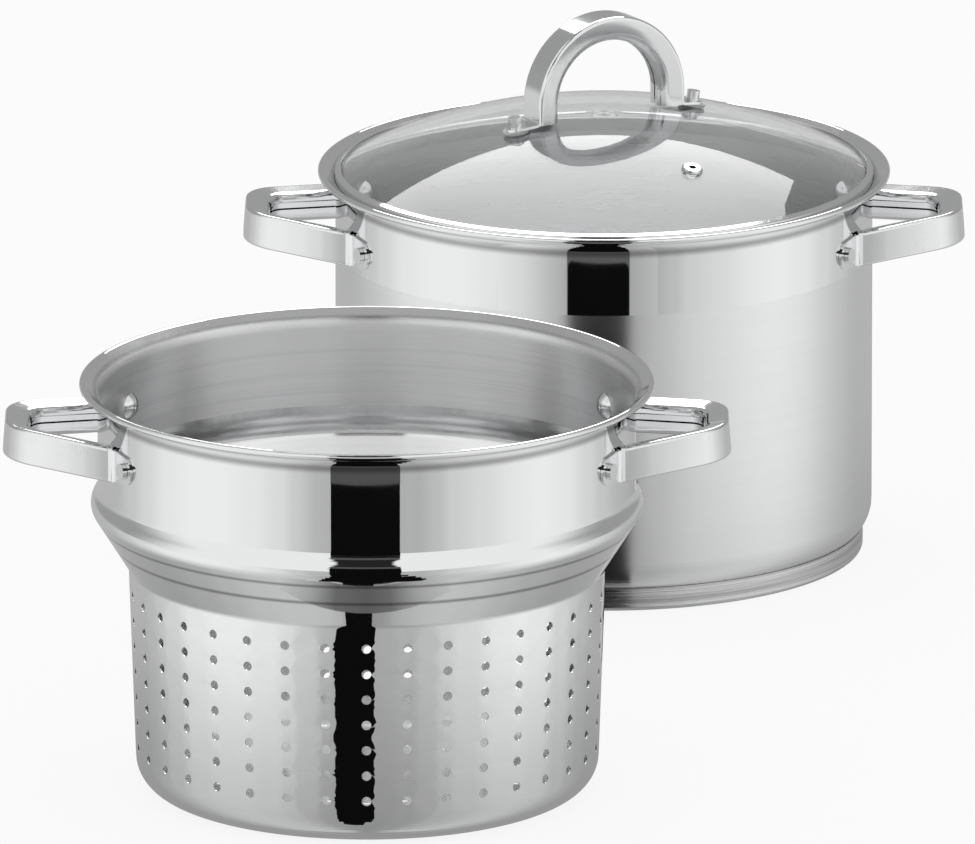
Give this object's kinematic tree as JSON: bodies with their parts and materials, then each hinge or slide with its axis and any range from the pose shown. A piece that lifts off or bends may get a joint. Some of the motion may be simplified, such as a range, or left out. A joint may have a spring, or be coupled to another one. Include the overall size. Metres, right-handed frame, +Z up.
{
  "type": "pasta pot",
  "caption": "Tall steel stock pot with two loop handles and a domed glass lid, and a perforated draining insert that hangs in it.",
  "frame": {"origin": "centre of the pot's base, on the table", "axes": "+Z up; X along the line of the side handles; the insert stands on the -Y side of the pot"},
  "size_m": [0.4262, 0.6545, 0.2458],
  "materials": {
    "pot_body": "mirror polish outside, satin inside",
    "pot_base_core": "plain",
    "pot_base_cap": "turned satin",
    "pot_handle_left": "mirror polish",
    "pot_handle_right": "mirror polish",
    "pot_rivets_left": "mirror polish",
    "pot_rivets_right": "mirror polish",
    "insert_body": "mirror polish outside, satin inside",
    "insert_handle_left": "mirror polish",
    "insert_handle_right": "mirror polish",
    "insert_rivets_left": "mirror polish",
    "insert_rivets_right": "mirror polish",
    "lid_glass": "clear tempered glass",
    "lid_rim": "mirror polish",
    "lid_handle": "mirror polish",
    "lid_pins": "mirror polish",
    "lid_gaskets_upper": "soft matt silicone",
    "lid_gaskets_lower": "soft matt silicone",
    "lid_washers": "mirror polish",
    "lid_vent": "mirror polish"
  },
  "bodies": {
    "root": {"pot_body": "pot_body", "pot_base_core": "pot_base_core", "pot_base_cap": "pot_base_cap", "pot_handle_left": "pot_handle_left", "pot_handle_right": "pot_handle_right", "pot_rivets_left": "pot_rivets_left", "pot_rivets_right": "pot_rivets_right", "insert_body": "insert_body", "insert_handle_left": "insert_handle_left", "insert_handle_right": "insert_handle_right", "insert_rivets_left": "insert_rivets_left", "insert_rivets_right": "insert_rivets_right", "lid_glass": "lid_glass", "lid_rim": "lid_rim", "lid_handle": "lid_handle", "lid_pins": "lid_pins", "lid_gaskets_upper": "lid_gaskets_upper", "lid_gaskets_lower": "lid_gaskets_lower", "lid_washers": "lid_washers", "lid_vent": "lid_vent"}
  },
  "joints": []
}
